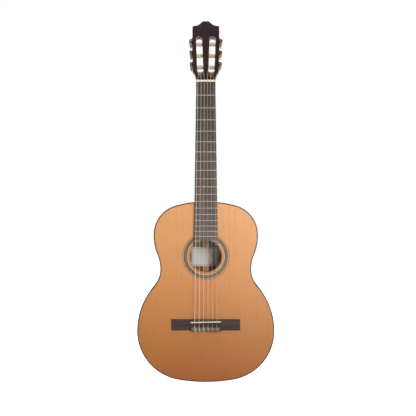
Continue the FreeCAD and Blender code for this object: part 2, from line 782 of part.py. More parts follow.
def slot_edges(side):
    """Edges of one string slot: straight walls and round ends, leaning outwards with the side."""
    half = size("slot_width") / 2
    low, high = size("slot_start"), size("slot_end") - half
    start = Vector(side * size("slot_centre_low"), low)
    end = Vector(side * size("slot_centre_high"), high)
    along = (end - start).normalize()
    across = Vector(along.y, -along.x) * half
    corners = [start + across, end + across, end - across, start - across]
    return [Part.LineSegment(corners[0], corners[1]),
            Part.Arc(corners[1], end + along * half, corners[2]),
            Part.LineSegment(corners[2], corners[3]),
            Part.Arc(corners[3], start - along * 3, corners[0])]


def ramp_cutter(side):
    """Round cutter that hollows the ramp from the face down into a slot's lower end."""
    half = size("slot_width") / 2
    slope = 22
    cutter = Part.makeCylinder(half, 40, Vector(0, 0, -34))
    deepest = (size("slot_start") - 3) * math.tan(math.radians(slope)) - size("veneer_thickness")
    middle = Vector(side * size("slot_centre_low"), deepest - half / math.cos(math.radians(slope)),
                    size("slot_start"))
    cutter.Placement = Placement(middle, Rotation(Vector(1, 0, 0), -slope))
    return cutter


def head_plate(name, start, thickness):
    """Slab with the headstock's outline and its two slots, from depth start into the wood."""
    body = new_body(name + "_body")
    outline = sketch_on(body, "XZ_Plane", name + "_outline")
    draw_path(outline, head_outline())
    pad(body, outline, thickness, reverse=True)
    for side, word in ((-1, "bass"), (1, "treble")):
        slot = sketch_on(body, "XZ_Plane", f"{name}_slot_{word}")
        draw_path(slot, slot_edges(side))
        pocket(body, slot, thickness)
    body.Placement = head_frame().multiply(Placement(Vector(0, start, 0), Rotation()))
    return body


def machine_frame(side, number):
    """Placement of one tuning machine: x outwards through the headstock's side, y to the back, z up it.

    side is 1 for the treble side and -1 for the bass side, which is built as a mirror image.
    """
    taper = math.degrees(math.atan2(37.6 - 33.5, 150 - 25))
    height = size("first_roller") + number * size("roller_pitch")
    edge = 33.5 + (height - 25) * math.tan(math.radians(taper))
    local = Placement(Vector(edge, (size("head_thickness") - size("veneer_thickness")) / 2, height),
                      Rotation(BACK, taper))
    return head_frame().multiply(local)


def roller_bore(number):
    """Hole for a string roller through the outer wall and into the middle rib, treble side."""
    frame = machine_frame(1, number)
    bore = Part.makeCylinder(size("roller_radius") + size("roller_clearance"), roller_reach(number) + 1.5)
    bore.Placement = frame.multiply(Placement(Vector(1, 0, 0), Rotation(Vector(0, 1, 0), -90)))
    return bore


def roller_reach(number):
    """Length of a roller inside the headstock: it ends 4.5 mm inside the middle rib."""
    frame = machine_frame(1, number)
    rib_side = slot_inner_edge(size("first_roller") + number * size("roller_pitch"))
    return head_frame().inverse().multVec(frame.Base).x - rib_side + 4.5


def slot_inner_edge(height):
    """Distance from the centre line to a slot's inner wall."""
    low, high = size("slot_start"), size("slot_end") - size("slot_width") / 2
    share = (height - low) / (high - low)
    centre = size("slot_centre_low") + (size("slot_centre_high") - size("slot_centre_low")) * share
    return centre - size("slot_width") / 2


def make_headstock(above_scarf):
    """Headstock with its part of the scarf, the slots, ramps and roller holes, and its face veneer."""
    wood = head_plate("head_wood", 0, "Sizes.head_thickness")
    veneer = head_plate("head_veneer", -size("veneer_thickness"), "Sizes.veneer_thickness")
    ramps = []
    for side in (-1, 1):
        ramp = ramp_cutter(side)
        ramp.Placement = head_frame().multiply(ramp.Placement)
        ramps.append(ramp)
    ramp_set = feature("ramp_cutters", Part.Compound(ramps))
    bores = feature("roller_bores", Part.Compound([roller_bore(n) for n in range(3)]))
    blank = fuse("head_blank", feature("head_root", above_scarf), wood)
    ramped = cut("head_ramped", blank, ramp_set)
    bored = cut("head_bored", ramped, bores, mirrored("roller_bores_bass", bores))
    node(cut("head_fitted", bored, plate_screw_holes()), "headstock")
    node(cut("veneer_ramped", veneer, ramp_set), "headstock_veneer")


# ---------------------------------------------------------------- tuning machines

SCREW_SPOTS = ((-12.7, 0), (17.4, 0), (52.2, 0), (86, 0))    # (up, back) from the first roller


def plate_screw(spot, grow=0.0):
    """Round-headed screw through a tuner plate, treble side."""
    up, back = spot
    head = Part.makeSphere(2.4, Vector(), Vector(1, 0, 0), 0, 90, 360)
    head = head.common(Part.makeBox(1.3, 9, 9, Vector(0, -4.5, -4.5)))
    head.translate(Vector(size("plate_thickness"), 0, 0))
    shank = Part.makeCylinder(0.9 + grow, 9 + size("plate_thickness"), Vector(-9, 0, 0), Vector(1, 0, 0))
    screw = shank.fuse(head) if not grow else shank
    screw.Placement = machine_frame(1, 0).multiply(Placement(Vector(0, back, up), Rotation()))
    return screw


def plate_screw_holes():
    """Room for the plate screws' shanks in the headstock, both sides."""
    right = feature("screw_room", Part.Compound([plate_screw(spot) for spot in SCREW_SPOTS]))
    return compound("screw_rooms", right, mirrored("screw_room_bass", right))


def bearing_ear(side):
    """One arched ear of a worm's bearing, with the hole for the worm's shaft along y."""
    reach, rise = size("gear_offset"), worm_distance()
    radius, thick = size("ear_radius"), size("ear_thickness")
    start = size("ear_gap") / 2 if side > 0 else -size("ear_gap") / 2 - thick
    arch = Part.makeCylinder(radius, thick, Vector(reach, start, rise), BACK)
    root = Part.makeBox(reach, thick, 2 * radius, Vector(0, start, rise - radius))
    hole = Part.makeCylinder(size("worm_shaft_radius") + size("worm_clearance"), thick,
                             Vector(reach, start, rise), BACK)
    return arch.fuse(root).cut(hole)


def worm_distance():
    """Distance between the worm's axis and the cog's."""
    return size("gear_teeth") * size("gear_module") / 2 + size("worm_pitch_radius")


def tuner_plate():
    """Side plate of the treble machines with its six bearing ears, holes and rounded ends."""
    low, high, half = -17.5, 90, 9
    thick = size("plate_thickness")
    plate = Part.makeBox(thick, 2 * half, high - low, Vector(0, -half, low))
    corners = [edge for edge in plate.Edges if edge.BoundBox.XLength > thick - 0.01
               and edge.BoundBox.YLength < 0.01 and edge.BoundBox.ZLength < 0.01]
    plate = plate.makeFillet(6, corners)
    for number in range(3):
        shift = Vector(0, 0, number * size("roller_pitch"))
        for side in (-1, 1):
            ear = bearing_ear(side)
            ear.translate(shift)
            plate = plate.fuse(ear)
        hole_radius = size("post_radius") + size("roller_clearance")
        plate = plate.cut(Part.makeCylinder(hole_radius, thick, shift, Vector(1, 0, 0)))
    plate.Placement = machine_frame(1, 0)
    for spot in SCREW_SPOTS:
        plate = plate.cut(plate_screw(spot))
    return plate.removeSplitter()


def worm_shaft():
    """Worm with its shaft, which runs through both ears and into the button, along +z."""
    pitch_radius, module = size("worm_pitch_radius"), size("gear_module")
    pitch = math.pi * module
    root, tip = pitch_radius - 0.85, pitch_radius + 0.7
    turns = 3
    length = turns * pitch
    flank = math.tan(math.radians(20))
    half = pitch / 4 - 0.06
    sunk = 0.25
    profile = []
    for radius, sign in ((root - sunk, -1), (tip, -1), (tip, 1), (root - sunk, 1)):
        half_here = half + (pitch_radius - radius) * flank
        profile.append(Vector(radius, 0, sign * half_here - length / 2))
    profile.append(profile[0])
    helix = Part.makeHelix(pitch, length, pitch_radius)
    helix.translate(Vector(0, 0, -length / 2))
    thread = helix.makePipeShell([Part.makePolygon(profile)], True, True)
    gap, thick = size("ear_gap"), size("ear_thickness")
    core = Part.makeCylinder(root, gap - 0.4, Vector(0, 0, -gap / 2 + 0.2))
    shaft = Part.makeCylinder(size("worm_shaft_radius"), gap + 2 * thick + 0.8 + size("stem_reach"),
                              Vector(0, 0, -gap / 2 - thick - 0.8))
    thread = thread.common(Part.makeCylinder(tip + 1, gap - 1, Vector(0, 0, -gap / 2 + 0.5)))
    collar = Part.makeCylinder(2.6, 1.8, Vector(0, 0, gap / 2 + thick + 0.15))
    return core.fuse([thread, shaft, collar]).removeSplitter()


def involute_flank(base_radius, radius):
    """Angle of a point of an involute, counted from where it leaves the base circle."""
    roll = math.sqrt(max((radius / base_radius) ** 2 - 1, 0))
    return roll - math.atan(roll)


def cog():
    """Cog with involute teeth that lean with the worm's thread; its axis is x and a gap faces +z."""
    teeth, module = int(size("gear_teeth")), size("gear_module")
    pitch_radius = teeth * module / 2
    base, tip, root = pitch_radius * math.cos(math.radians(20)), pitch_radius + 0.7, pitch_radius - 1.1
    half_tooth = (math.pi / 2 - 0.16 / module) / teeth
    at_pitch = involute_flank(base, pitch_radius)
    points = []
    for tooth in range(teeth):
        middle = (tooth + 0.5) * 2 * math.pi / teeth
        flank = [(root, half_tooth + at_pitch)]
        for radius in (base, base + 0.25, pitch_radius, pitch_radius + 0.35, tip):
            flank.append((radius, half_tooth + at_pitch - involute_flank(base, radius)))
        for radius, angle in flank:
            points.append((radius, middle - angle))
        for radius, angle in reversed(flank):
            points.append((radius, middle + angle))
    lead = math.asin(math.pi * module / (2 * math.pi * size("worm_pitch_radius")))
    width = size("gear_width")
    twist = -math.tan(lead) * width / pitch_radius
    wires = []
    for end in (-1, 1):
        ring = [Vector(end * width / 2, radius * math.sin(angle + end * twist / 2),
                       radius * math.cos(angle + end * twist / 2)) for radius, angle in points]
        wires.append(Part.makePolygon(ring + ring[:1]))
    blank = loft(wires, True)
    return blank.cut(Part.makeCylinder(size("post_radius"), width + 2, Vector(-width / 2 - 1, 0, 0),
                                       Vector(1, 0, 0)))


def cog_screw():
    """Screw that holds the cog on the roller's post: slotted pan head and a short shank."""
    face = size("gear_offset") + size("gear_width") / 2
    head = Part.makeCylinder(3.3, 1.6, Vector(face, 0, 0), Vector(1, 0, 0))
    head = head.makeFillet(0.7, [edge for edge in head.Edges if abs(edge.BoundBox.XMin - face - 1.6) < 0.01
                                 and edge.BoundBox.XLength < 0.01])
    slot = Part.makeBox(0.9, 0.8, 8, Vector(face + 1, -0.4, -4))
    shank = Part.makeCylinder(1.25, 6, Vector(face - 6, 0, 0), Vector(1, 0, 0))
    return head.cut(slot).fuse(shank)


def roller(number, string):
    """String roller with the post that carries the cog; the string's hole crosses its middle."""
    reach = roller_reach(number)
    post_end = size("gear_offset") + size("gear_width") / 2
    barrel = Part.makeCylinder(size("roller_radius"), reach - 0.4, Vector(-reach, 0, 0), Vector(1, 0, 0))
    post = Part.makeCylinder(size("post_radius"), post_end + 0.4, Vector(-0.4, 0, 0), Vector(1, 0, 0))
    thread = Part.makeCylinder(1.25, 6, Vector(post_end - 6, 0, 0), Vector(1, 0, 0))
    hole = Part.makeCylinder(1, 14, Vector(string_hole_x(number, string), -7, 0), BACK)
    return barrel.fuse(post).cut(thread).cut(hole)


def button():
    """Tuner button: an oval pad with rounded rims, its neck towards the worm, along y."""
    half, length = size("button_width") / 2, size("button_length")
    edges = [Part.Arc(Vector(3, 0), Vector(half * 0.86, 3.2), Vector(half, 8.5)),
             Part.Arc(Vector(half, 8.5), Vector(0, length), Vector(-half, 8.5)),
             Part.Arc(Vector(-half, 8.5), Vector(-half * 0.86, 3.2), Vector(-3, 0)),
             Part.LineSegment(Vector(-3, 0), Vector(3, 0))]
    return edges


def make_buttons_body():
    """One tuner button at the origin, with its neck at z = 0 and the stem's bore up from there."""
    body = new_body("button_body")
    outline = sketch_on(body, "XZ_Plane", "button_outline")
    draw_path(outline, button())
    pad(body, outline, "Sizes.button_thickness", both=True)
    half = size("button_thickness") / 2
    round_edges(body, "button_rim", 2.6,
                lambda edge: abs(abs(edge.CenterOfMass.y) - half) < 0.01 and edge.BoundBox.XLength > 6.5)
    doc.recompute()
    rear_ear = size("ear_gap") / 2 + size("ear_thickness")
    bore = Part.makeCylinder(size("worm_shaft_radius"), size("stem_reach") - (button_y() - rear_ear))
    return body.Shape.cut(bore)


def button_y():
    """Where a button's neck starts in its machine frame: just behind the headstock's back, which
    its wings pass as it turns."""
    return (size("head_thickness") + size("veneer_thickness")) / 2 + size("button_clearance")


def make_tuners():
    """Both tuning machines. String 1 to 3 are on the treble side, the others mirrored on the bass side."""
    plate = node(feature("plate_treble", tuner_plate()), "tuner_plate_treble")
    node(mirrored("plate_bass", plate), "tuner_plate_bass")
    screws = feature("plate_screws_treble", Part.Compound([plate_screw(spot) for spot in SCREW_SPOTS]))
    node(compound("plate_screw_set", screws, mirrored("plate_screws_bass", screws)), "tuner_plate_screws")

    worm, wheel, screw, knob = worm_shaft(), cog(), cog_screw(), make_buttons_body()
    # a quarter turn brings the thread into the gap between two of the cog's teeth
    worm_turn = Rotation(Vector(0, 0, 1), -90)
    button_start = Vector(0, button_y(), 0)
    for string in STRINGS:
        number = roller_number(string)
        frame = machine_frame(1, number)
        axis_point = Vector(size("gear_offset"), 0, worm_distance())
        turned = Rotation(Vector(1, 0, 0), -90).multiply(worm_turn)
        shapes = {
            "worm_shaft": placed(worm, frame, Placement(axis_point, turned)),
            "tuner_button": placed(knob, frame, Placement(axis_point + button_start, turned)),
            "tuner_gear": Part.Compound([
                placed(wheel, frame, Placement(Vector(size("gear_offset"), 0, 0), Rotation())),
                placed(screw, frame, Placement())]),
            "string_roller": placed(roller(number, string), frame, Placement()),
        }
        for kind, shape in shapes.items():
            treble = feature(f"{kind}_shape_{string}", shape)
            if string > 3:
                treble = mirrored(f"{kind}_bass_{string}", treble)
            node(treble, f"{kind}_{string}")


def placed(shape, frame, local):
    """Copy of a shape at a place inside a frame."""
    copy = shape.copy()
    copy.Placement = frame.multiply(local)
    return copy


def roller_number(string):
    """Roller of a string, counted from the nut: the outer strings take the nearest one."""
    return {1: 0, 2: 1, 3: 2, 4: 2, 5: 1, 6: 0}[string]


def string_hole_x(number, string):
    """Place of the string's hole along the roller, counted outwards from the headstock's side."""
    from_centre = {1: 17.5, 2: 15.8, 3: 14.4, 4: 14.8, 5: 16.8, 6: 17.8}[string]
    outward = head_frame().inverse().multVec(machine_frame(1, number).Base).x
    return from_centre - outward


# ---------------------------------------------------------------- nut, bridge and saddle

def string_x(string, spread):
    """Distance of a string from the centre line; the lowest string is on the bass side."""
    return size(spread) * (0.5 - (string - 1) / 5)


def nut_block():
    """Nut blank: a bone block whose top slopes down towards the headstock."""
    body = new_body("nut_body")
    outline = sketch_on(body, "XZ_Plane", "nut_outline")
    draw_rectangle(outline, "-Sizes.nut_width / 2", "Sizes.nut_z", "Sizes.nut_width", "Sizes.nut_length")
    pad(body, outline, "Sizes.nut_height")
    height = size("nut_height")
    round_edges(body, "nut_rounding", 1.6,
                lambda edge: abs(edge.CenterOfMass.y + height) < 0.01
                and edge.CenterOfMass.z > size("nut_z") + 4)
    return body


def make_nut():
    """Nut with a slot for each string, open to the front."""
    slots = []
    for string in STRINGS:
        room = size(f"string_diameter_{string}") / 2 + size("string_gap")
        x = string_x(string, "nut_spread")
        floor_y = room - size("string_height_nut")
        slots.append(Part.makeBox(2 * room, 6, 30, Vector(x - room, floor_y - 6, size("nut_z") - 10)))
    node(cut("nut_fitted", nut_block(), feature("nut_slots", Part.Compound(slots))), "nut")


def make_bridge():
    """Bridge: thin wings, the saddle's block with its channel, and the tie block with its holes."""
    wings = new_body("bridge_wings")
    outline = sketch_on(wings, "XZ_Plane", "bridge_outline")
    draw_rectangle(outline, "-Sizes.bridge_length / 2", "Sizes.bridge_z",
                   "Sizes.bridge_length", "Sizes.bridge_width")
    pad(wings, outline, "Sizes.wing_height")
    round_edges(wings, "wing_rounding", 2.4,
                lambda edge: abs(edge.CenterOfMass.y + size("wing_height")) < 0.01)
    saddle_block = centred_box("saddle_block", "Sizes.tie_block_length", "-Sizes.saddle_block_height",
                               "Sizes.saddle_block_height",
                               "Sizes.bridge_z + Sizes.bridge_width - Sizes.saddle_block_width",
                               "Sizes.saddle_block_width")
    tie_block = centred_box("tie_block", "Sizes.tie_block_length", "-Sizes.tie_block_height",
                            "Sizes.tie_block_height", "Sizes.tie_block_z", "Sizes.tie_block_width")
    slot = Part.makeBox(size("tie_block_length") + 2, size("saddle_height"), size("saddle_thickness"),
                        Vector(-size("tie_block_length") / 2 - 1, -size("saddle_height") - 3,
                               -size("saddle_thickness") / 2))
    slot.Placement = saddle_frame()
    hole_y = -size("string_hole_height")
    holes = [Part.makeCylinder(size("string_hole_radius"), 30,
                               Vector(string_x(s, "bridge_spread"), hole_y, size("tie_block_z") - 5))
             for s in STRINGS]
    inlay = inlay_board()
    node(inlay, "tie_block_inlay")
    whole = fuse("bridge_whole", wings, saddle_block, tie_block)
    node(cut("bridge_fitted", whole, feature("bridge_cutters", Part.Compound(holes)),
             feature("saddle_channel", slot), inlay), "bridge")


def inlay_board():
    """Mosaic strip let into the top of the tie block, with bone rims, 1 mm deep."""
    obj = centred_box("inlay_board", "Sizes.tie_block_length - 4", "-Sizes.tie_block_height", 1,
                      "Sizes.tie_block_z + 2", "Sizes.tie_block_width - 4")
    return obj


def saddle_frame():
    """Placement of the saddle: leaning so that the bass strings are a little longer."""
    return Placement(Vector(0, 0, size("saddle_z")), Rotation(BACK, -size("saddle_slant")))


def make_saddle():
    """Bone saddle standing in its channel, with a round top that the strings cross."""
    body = new_body("saddle_body")
    outline = sketch_on(body, "XZ_Plane", "saddle_outline")
    draw_rectangle(outline, "-Sizes.tie_block_length / 2", "-Sizes.saddle_thickness / 2",
                   "Sizes.tie_block_length", "Sizes.saddle_thickness")
    pad(body, outline, "Sizes.saddle_height - 3")
    top = size("saddle_height") - 3
    round_edges(body, "saddle_crown", 1.2,
                lambda edge: abs(edge.CenterOfMass.y + top) < 0.01 and edge.BoundBox.XLength > 50)
    body.Placement = saddle_frame().multiply(Placement(Vector(0, -3, 0), Rotation()))
    node(body, "saddle")


# ---------------------------------------------------------------- strings

COIL_PIECES = 9     # a string's turns are swept as this many lengths, so that their mesh stays fine


def rounded_path(points, radii):
    """Edges through a row of points, with an arc of the given radius at each inner point."""
    edges = []
    start = points[0]
    for before, corner, after, radius in zip(points, points[1:], points[2:], radii):
        back, ahead = (before - corner).normalize(), (after - corner).normalize()
        half_angle = back.getAngle(ahead) / 2
        leg = radius / math.tan(half_angle)
        middle = corner + (back + ahead).normalize() * (radius / math.sin(half_angle) - radius)
        edges.append(Part.makeLine(start, corner + back * leg))
        edges.append(Part.Arc(corner + back * leg, middle, corner + ahead * leg).toShape())
        start = corner + ahead * leg
    edges.append(Part.makeLine(start, points[-1]))
    return edges


def string_turns(string, nut_back):
    """Treble-side run of a string from the nut's back edge into its turns on the roller.

    The run bends gently into the first turn, which lies on the front of the roller, and the turns
    then grow outwards along it.
    """
    radius = size(f"string_diameter_{string}") / 2
    number = roller_number(string)
    coil_radius = size("roller_radius") + radius + size("string_gap")
    pitch = 2 * radius + size("string_gap") / 2
    left_handed = True
    helix = Part.makeHelix(pitch, size("string_turns") * pitch, coil_radius, 0, left_handed)
    face_front = Rotation(BACK, 90).multiply(Rotation(Vector(0, 0, 1), -90))
    start_x = string_hole_x(number, string)
    helix.Placement = machine_frame(1, number).multiply(Placement(Vector(start_x, 0, 0), face_front))
    coil = helix.Edges[0]
    first = coil.valueAt(coil.FirstParameter)
    heading = coil.tangentAt(coil.FirstParameter)
    reach = (first - nut_back).Length
    bend = Part.BezierCurve()
    bend.setPoles([nut_back, nut_back + Vector(0, 0, reach * 0.12), first - heading * reach * 0.25, first])
    steps = [coil.FirstParameter + (coil.LastParameter - coil.FirstParameter) * step / COIL_PIECES
             for step in range(COIL_PIECES + 1)]
    return [bend.toShape()] + [coil.Curve.toShape(start, end) for start, end in zip(steps, steps[1:])]


def string_shape(string):
    """One string as one solid: end over the tie block, saddle, nut, and the turns on its roller."""
    radius = size(f"string_diameter_{string}") / 2
    mirror = 1 if string <= 3 else -1
    x_nut, x_bridge = mirror * string_x(string, "nut_spread"), mirror * string_x(string, "bridge_spread")
    block_low, block_high = size("tie_block_z"), size("tie_block_z") + size("tie_block_width")
    touch = radius + size("string_gap")
    over = -size("tie_block_height") - touch
    hole_y = -size("string_hole_height")
    saddle_z = saddle_frame().multVec(Vector(mirror * x_bridge, 0, 0)).z
    nut_y = -size("string_height_nut")
    over_saddle = -size("saddle_height") - touch
    out_of_block = block_high + 1.4
    wrap = size("saddle_thickness") / 2 + touch
    break_angle = math.atan2(hole_y - over_saddle, saddle_z - out_of_block)
    saddle_bend = saddle_z - wrap * math.tan(break_angle / 2)
    points = [Vector(x_bridge, over, block_high - 1), Vector(x_bridge, over, block_low - touch),
              Vector(x_bridge, hole_y, block_low - touch), Vector(x_bridge, hole_y, out_of_block),
              Vector(x_bridge, over_saddle, saddle_bend),
              Vector(x_nut, nut_y, size("nut_z")), Vector(x_nut, nut_y, size("nut_z") + size("nut_length"))]
    radii = (touch, touch, 1, wrap, 3)
    path = Part.Wire(rounded_path(points, radii) + string_turns(string, points[-1]))
    section = Part.Wire(Part.makeCircle(radius, points[0], points[1] - points[0]))
    whole = path.makePipeShell([section], True, False)
    return whole if mirror > 0 else whole.mirror(Vector(), Vector(1, 0, 0))


def make_strings():
    """All six strings, thinnest first, each its own node."""
    for string in STRINGS:
        node(feature(f"string_shape_{string}", string_shape(string)), f"string_{string}")


# ---------------------------------------------------------------- assembly and export

def build():
    """Make every sub-part."""
    shapes = Soundbox()
    make_top(shapes)
    make_bindings(shapes)
    make_sides(shapes)
    make_back(shapes)
    make_frame(shapes)
    make_top_bracing(shapes)
    above_scarf = make_neck(shapes)
    make_heel(shapes)
    make_headstock(above_scarf)
    make_fingerboard()
    make_bridge()
    make_tuners()
    make_strings()
    make_nut()
    make_saddle()


def check():
    """Stop if any object failed or any sub-part is empty or broken."""
    doc.recompute()
    for obj in doc.Objects:
        if "Invalid" in obj.State or "Error" in obj.State:
            raise RuntimeError(f"{obj.Label} failed: {obj.State}")
    for obj in nodes:
        if obj.Shape.isNull() or not obj.Shape.Solids or not obj.Shape.isValid():
            raise RuntimeError(f"{obj.Label} has no valid shape")


def export():
    """Write each sub-part to its own STEP file."""
    os.makedirs("parts", exist_ok=True)
    for obj in nodes:
        obj.Shape.exportStep(f"parts/{obj.Label}.step")


build()
check()
export()
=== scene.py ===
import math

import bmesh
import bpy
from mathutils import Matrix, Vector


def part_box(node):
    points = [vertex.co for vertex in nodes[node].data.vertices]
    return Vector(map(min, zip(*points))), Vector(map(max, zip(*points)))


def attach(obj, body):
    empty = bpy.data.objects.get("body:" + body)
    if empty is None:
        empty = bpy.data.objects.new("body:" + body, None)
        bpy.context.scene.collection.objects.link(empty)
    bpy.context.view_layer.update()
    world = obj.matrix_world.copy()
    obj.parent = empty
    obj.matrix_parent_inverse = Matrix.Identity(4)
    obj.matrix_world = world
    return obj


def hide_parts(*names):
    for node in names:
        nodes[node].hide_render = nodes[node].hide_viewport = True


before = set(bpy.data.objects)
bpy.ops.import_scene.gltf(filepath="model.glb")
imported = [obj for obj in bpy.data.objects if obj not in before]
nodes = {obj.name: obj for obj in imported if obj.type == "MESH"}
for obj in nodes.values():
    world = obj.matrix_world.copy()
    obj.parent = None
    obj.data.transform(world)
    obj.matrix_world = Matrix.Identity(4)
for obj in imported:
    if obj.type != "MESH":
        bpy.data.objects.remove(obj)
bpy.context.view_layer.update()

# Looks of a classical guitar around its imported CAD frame: x to the right seen from the front, y into the
# body, z up the neck. Pieces are drawn in millimetres, and MM turns those into metres; materials, lamps and
# camera are in metres. Every CAD node keeps its own shape and gets a procedural finish, except the rosette
# and the tie block's inlay, which are replaced by meshes with every line and tile of their own.

MM = 0.001
TURN = 2 * math.pi

HOLE_CENTRE = Vector((0, 0, 342.4))
STRING_DIAMETERS = {1: 0.71, 2: 0.82, 3: 1.02, 4: 0.74, 5: 0.91, 6: 1.09}    # the highest is string 1
NYLON_STRINGS = (1, 2, 3)
FIRST_STRING_X, STRING_SPACING = 30, 12        # at the bridge


# ---------------------------------------------------------------- node materials, in metres

BODY_LENGTH = 0.49                    # height over which painted shade darkens the top towards the tail
BOARD_LOW, BOARD_HIGH = 0.38, 0.82    # heights between which painted light and shade change the fingerboard's brightness
RING_WANDER = 0.006                   # how far the cedar's growth rings leave a straight line
GRAIN_DRIFT = 0.012                   # and the same for hardwood
PORE_DARKNESS = 0.35


def colour(red, green, blue):
    """Linear colour from the 0 to 255 numbers of a display colour."""
    def linear(value):
        value /= 255
        return value / 12.92 if value <= 0.04045 else ((value + 0.055) / 1.055) ** 2.4
    return (linear(red), linear(green), linear(blue), 1)


class Finish:
    """A material's node tree, with short calls for the kinds of node it is made of."""

    def __init__(self, name, roughness=0.5, metallic=0.0):
        self.material = bpy.data.materials.new(name)
        self.material.use_nodes = True
        self.tree = self.material.node_tree
        self.shader = self.tree.nodes["Principled BSDF"]
        self.set("Roughness", roughness)
        self.set("Metallic", metallic)
        self.place = self.tree.nodes.new("ShaderNodeTexCoord").outputs["Object"]

    def put(self, socket, value):
        """Link a socket to another node's output, or give it a fixed value."""
        if isinstance(value, bpy.types.NodeSocket):
            self.tree.links.new(value, socket)
        else:
            socket.default_value = value

    def set(self, key, value):
        self.put(self.shader.inputs[key], value)

    def node(self, kind, output=0, settings=None, **inputs):
        """Output of a new node; inputs are named as in Blender, or i0, i1 and so on by their order."""
        made = self.tree.nodes.new("ShaderNode" + kind)
        for key, value in (settings or {}).items():
            setattr(made, key, value)
        for key, value in inputs.items():
            self.put(made.inputs[int(key[1:]) if key[1:].isdigit() else key], value)
        return made.outputs[output]

    def maths(self, operation, a, b=0.0):
        return self.node("Math", settings={"operation": operation}, i0=a, i1=b)

    def axes(self, place=None):
        split = self.tree.nodes.new("ShaderNodeSeparateXYZ")
        self.put(split.inputs[0], place or self.place)
        return split.outputs[0], split.outputs[1], split.outputs[2]

    def joined(self, x, y, z):
        return self.node("CombineXYZ", X=x, Y=y, Z=z)

    def scaled(self, scale, place=None):
        """Object coordinates, or a place worked out from them, with scale repeats to the metre."""
        return self.node("Mapping", Vector=place or self.place, Scale=scale)

    def noise(self, scale, place=None, detail=4, rough=0.55, distort=0.0):
        return self.node("TexNoise", Vector=self.scaled(scale, place), Scale=1.0, Detail=detail,
                         Roughness=rough, Distortion=distort)

    def ramp(self, amount, *stops):
        made = self.tree.nodes.new("ShaderNodeValToRGB")
        self.put(made.inputs[0], amount)
        points = made.color_ramp.elements
        while len(points) < len(stops):
            points.new(0.5)
        for point, (position, shade) in zip(points, stops):
            point.position = position
            point.color = shade if isinstance(shade, tuple) else (shade, shade, shade, 1)
        return made.outputs[0]

    def mix(self, amount, a, b, blend="MIX"):
        made = self.tree.nodes.new("ShaderNodeMix")
        made.data_type = "RGBA"
        made.blend_type = blend
        self.put(made.inputs[0], amount)
        self.put(made.inputs[6], a)
        self.put(made.inputs[7], b)
        return made.outputs[2]

    def between(self, value, low, high, from_value, to_value):
        """value carried from the span low..high to from_value..to_value, and held beyond it."""
        return self.node("MapRange", i0=value, i1=low, i2=high, i3=from_value, i4=to_value)

    def bump(self, height, depth, edge=0.0):
        """Relief of the given depth in millimetres; edge rounds the shading of sharp edges."""
        made = self.tree.nodes.new("ShaderNodeBump")
        made.inputs["Strength"].default_value = 1.0
        made.inputs["Distance"].default_value = depth * MM
        self.put(made.inputs["Height"], height)
        if edge:
            rounded = self.tree.nodes.new("ShaderNodeBevel")
            rounded.samples = 4
            rounded.inputs["Radius"].default_value = edge * MM
            self.put(made.inputs["Normal"], rounded.outputs[0])
        self.set("Normal", made.outputs[0])

    def coat(self, weight, roughness):
        self.set("Coat Weight", weight)
        self.set("Coat Roughness", roughness)


def cedar(name, with_tail_shade=True):
    """Straight-grained cedar, book-matched at the centre line; the outside of the top gets painted shade,
    darker towards the tail.
    """
    made = Finish(name)
    x, y, z = made.axes()
    side = made.maths("ABSOLUTE", x)
    folded = made.joined(side, y, z)
    wander = made.noise((14, 1, 2.2), folded, detail=2)
    bent = made.joined(made.maths("ADD", side, made.maths("MULTIPLY", wander, RING_WANDER)), y, z)
    growth = made.noise((620, 30, 1.2), bent, detail=2, rough=0.4)
    streaks = made.noise((95, 20, 0.9), bent, detail=3, rough=0.6)
    broad = made.noise((11, 5, 1.1), bent, detail=2)
    fibre = made.noise((1600, 900, 24), bent, detail=2)
    rays = made.noise((160, 200, 900), folded, detail=2, rough=0.7)
    grain = made.ramp(growth, (0.3, colour(216, 147, 83)), (0.47, colour(227, 161, 97)),
                      (0.66, colour(232, 169, 105)))
    shade = made.mix(made.between(streaks, 0.35, 0.75, 0.0, 0.12), grain, colour(202, 130, 68))
    shade = made.mix(made.between(broad, 0.35, 0.65, 0.0, 0.35), shade, colour(236, 176, 112))
    shade = made.mix(0.35, shade, made.ramp(fibre, (0.3, colour(200, 134, 76)), (0.7, colour(238, 182, 120))))
    shade = made.mix(made.between(rays, 0.6, 0.8, 0.0, 0.16), shade, colour(250, 210, 156))
    if with_tail_shade:
        # painted shade: the top is multiplied darker and warmer towards the tail, where the light falls off
        height = made.ramp(made.between(z, 0.0, BODY_LENGTH, 0.0, 1.0), (0.0, colour(180, 138, 20)),
                           (0.25, colour(199, 171, 100)), (0.6, colour(232, 214, 186)),
                           (1.0, colour(250, 243, 240)))
        shade = made.mix(1.0, shade, height, "MULTIPLY")
    made.set("Base Color", shade)
    made.set("Roughness", made.between(fibre, 0.3, 0.7, 0.42, 0.54))
    made.set("Specular IOR Level", 0.35)
    made.coat(0.6, 0.4)
    made.bump(made.maths("ADD", growth, made.maths("MULTIPLY", fibre, 0.4)), 0.05)
    return made.material


